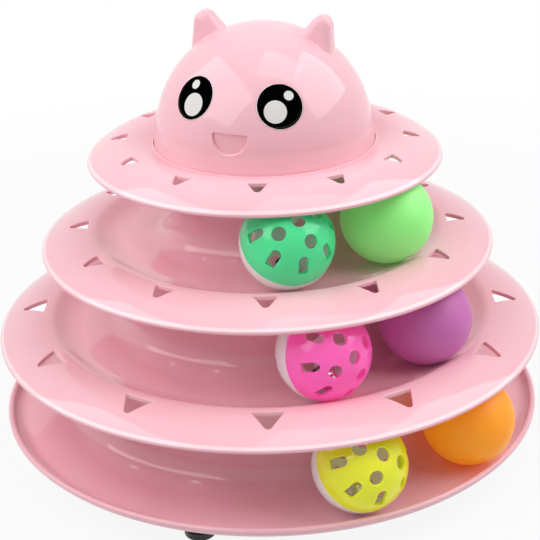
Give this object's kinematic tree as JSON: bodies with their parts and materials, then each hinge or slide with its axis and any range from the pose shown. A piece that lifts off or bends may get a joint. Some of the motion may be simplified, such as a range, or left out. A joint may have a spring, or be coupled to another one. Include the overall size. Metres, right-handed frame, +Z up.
{
  "type": "cat ball track toy",
  "caption": "Tiered pink ball-track tower for cats, topped by a domed cat head, with caged lattice bell balls and plain balls rolling round each level.",
  "frame": {"origin": "on the tower axis, at the level of the table that the rubber feet stand on", "axes": "+Z up along the tower axis; the cat face looks along -Y; +X is to the right of a viewer who looks at the face"},
  "size_m": [0.2506, 0.2506, 0.1966],
  "materials": {
    "pink_plastic": "pale pink, glossy injection-moulded ABS",
    "foot_rubber": "black rubber, slightly shiny",
    "eye_print": "black gloss disc with two white printed spots",
    "green_plastic": "translucent green, glossy",
    "hot_pink_plastic": "hot pink, glossy",
    "yellow_plastic": "lemon yellow, glossy",
    "white_plastic": "milky white, glossy",
    "bell_metal": "nickel-plated sheet",
    "bead_steel": "plain steel",
    "mint_plastic": "light green, satin",
    "purple_plastic": "purple, satin",
    "orange_plastic": "orange, satin"
  },
  "bodies": {
    "base": {"base_tray": "pink_plastic", "front_foot": "foot_rubber", "right_foot": "foot_rubber", "rear_foot": "foot_rubber", "left_foot": "foot_rubber"},
    "lower_ring": {"lower_track_ring": "pink_plastic"},
    "upper_ring": {"upper_track_ring": "pink_plastic"},
    "cap": {"cat_head_cap": "pink_plastic", "left_eye": "eye_print", "right_eye": "eye_print"},
    "green_bell": {"green_ball_bell": "bell_metal", "green_ball_bead": "bead_steel"},
    "green_ball": {"green_ball_shell": "green_plastic", "green_ball_back": "white_plastic"},
    "mint_ball": {"mint_ball": "mint_plastic"},
    "pink_bell": {"pink_ball_bell": "bell_metal", "pink_ball_bead": "bead_steel"},
    "pink_ball": {"pink_ball_shell": "hot_pink_plastic", "pink_ball_back": "white_plastic"},
    "purple_ball": {"purple_ball": "purple_plastic"},
    "yellow_bell": {"yellow_ball_bell": "bell_metal", "yellow_ball_bead": "bead_steel"},
    "yellow_ball": {"yellow_ball_shell": "yellow_plastic", "yellow_ball_back": "white_plastic"},
    "orange_ball": {"orange_ball": "orange_plastic"}
  },
  "joints": [
    {"name": "lower_ring_lift", "type": "slide", "parent": "base", "child": "lower_ring", "axis": [0, 0, 1], "range_m": [0, 0.06]},
    {"name": "upper_ring_lift", "type": "slide", "parent": "lower_ring", "child": "upper_ring", "axis": [0, 0, 1], "range_m": [0, 0.06]},
    {"name": "cap_lift", "type": "slide", "parent": "upper_ring", "child": "cap", "axis": [0, 0, 1], "range_m": [0, 0.06]},
    {"name": "green_ball_orbit", "type": "hinge", "parent": "upper_ring", "child": "green_bell", "pos_m": [0, 0, 0.1166], "axis": [0, 0, 1], "continuous": true},
    {"name": "green_ball_roll", "type": "hinge", "parent": "green_bell", "child": "green_ball", "pos_m": [0.0269, -0.05836, 0.1166], "axis": [0.4187, -0.9081, 0], "continuous": true},
    {"name": "mint_ball_orbit", "type": "hinge", "parent": "upper_ring", "child": "mint_ball", "pos_m": [0, 0, 0.1166], "axis": [0, 0, 1], "continuous": true},
    {"name": "pink_ball_orbit", "type": "hinge", "parent": "lower_ring", "child": "pink_bell", "pos_m": [0, 0, 0.0749], "axis": [0, 0, 1], "continuous": true},
    {"name": "pink_ball_roll", "type": "hinge", "parent": "pink_bell", "child": "pink_ball", "pos_m": [0.04576, -0.07253, 0.0749], "axis": [0.5336, -0.8457, 0], "continuous": true},
    {"name": "purple_ball_orbit", "type": "hinge", "parent": "lower_ring", "child": "purple_ball", "pos_m": [0, 0, 0.0749], "axis": [0, 0, 1], "continuous": true},
    {"name": "yellow_ball_orbit", "type": "hinge", "parent": "base", "child": "yellow_bell", "pos_m": [0, 0, 0.0332], "axis": [0, 0, 1], "continuous": true},
    {"name": "yellow_ball_roll", "type": "hinge", "parent": "yellow_bell", "child": "yellow_ball", "pos_m": [0.06469, -0.08743, 0.0332], "axis": [0.5948, -0.8039, 0], "continuous": true},
    {"name": "orange_ball_orbit", "type": "hinge", "parent": "base", "child": "orange_ball", "pos_m": [0, 0, 0.0332], "axis": [0, 0, 1], "continuous": true}
  ],
  "couplings": [
    {"joint": "green_ball_roll", "follows": "green_ball_orbit", "ratio": -3.213},
    {"joint": "mint_ball_orbit", "follows": "green_ball_orbit", "ratio": 1},
    {"joint": "pink_ball_roll", "follows": "pink_ball_orbit", "ratio": -4.288},
    {"joint": "purple_ball_orbit", "follows": "pink_ball_orbit", "ratio": 1},
    {"joint": "yellow_ball_roll", "follows": "yellow_ball_orbit", "ratio": -5.438},
    {"joint": "orange_ball_orbit", "follows": "yellow_ball_orbit", "ratio": 1}
  ]
}
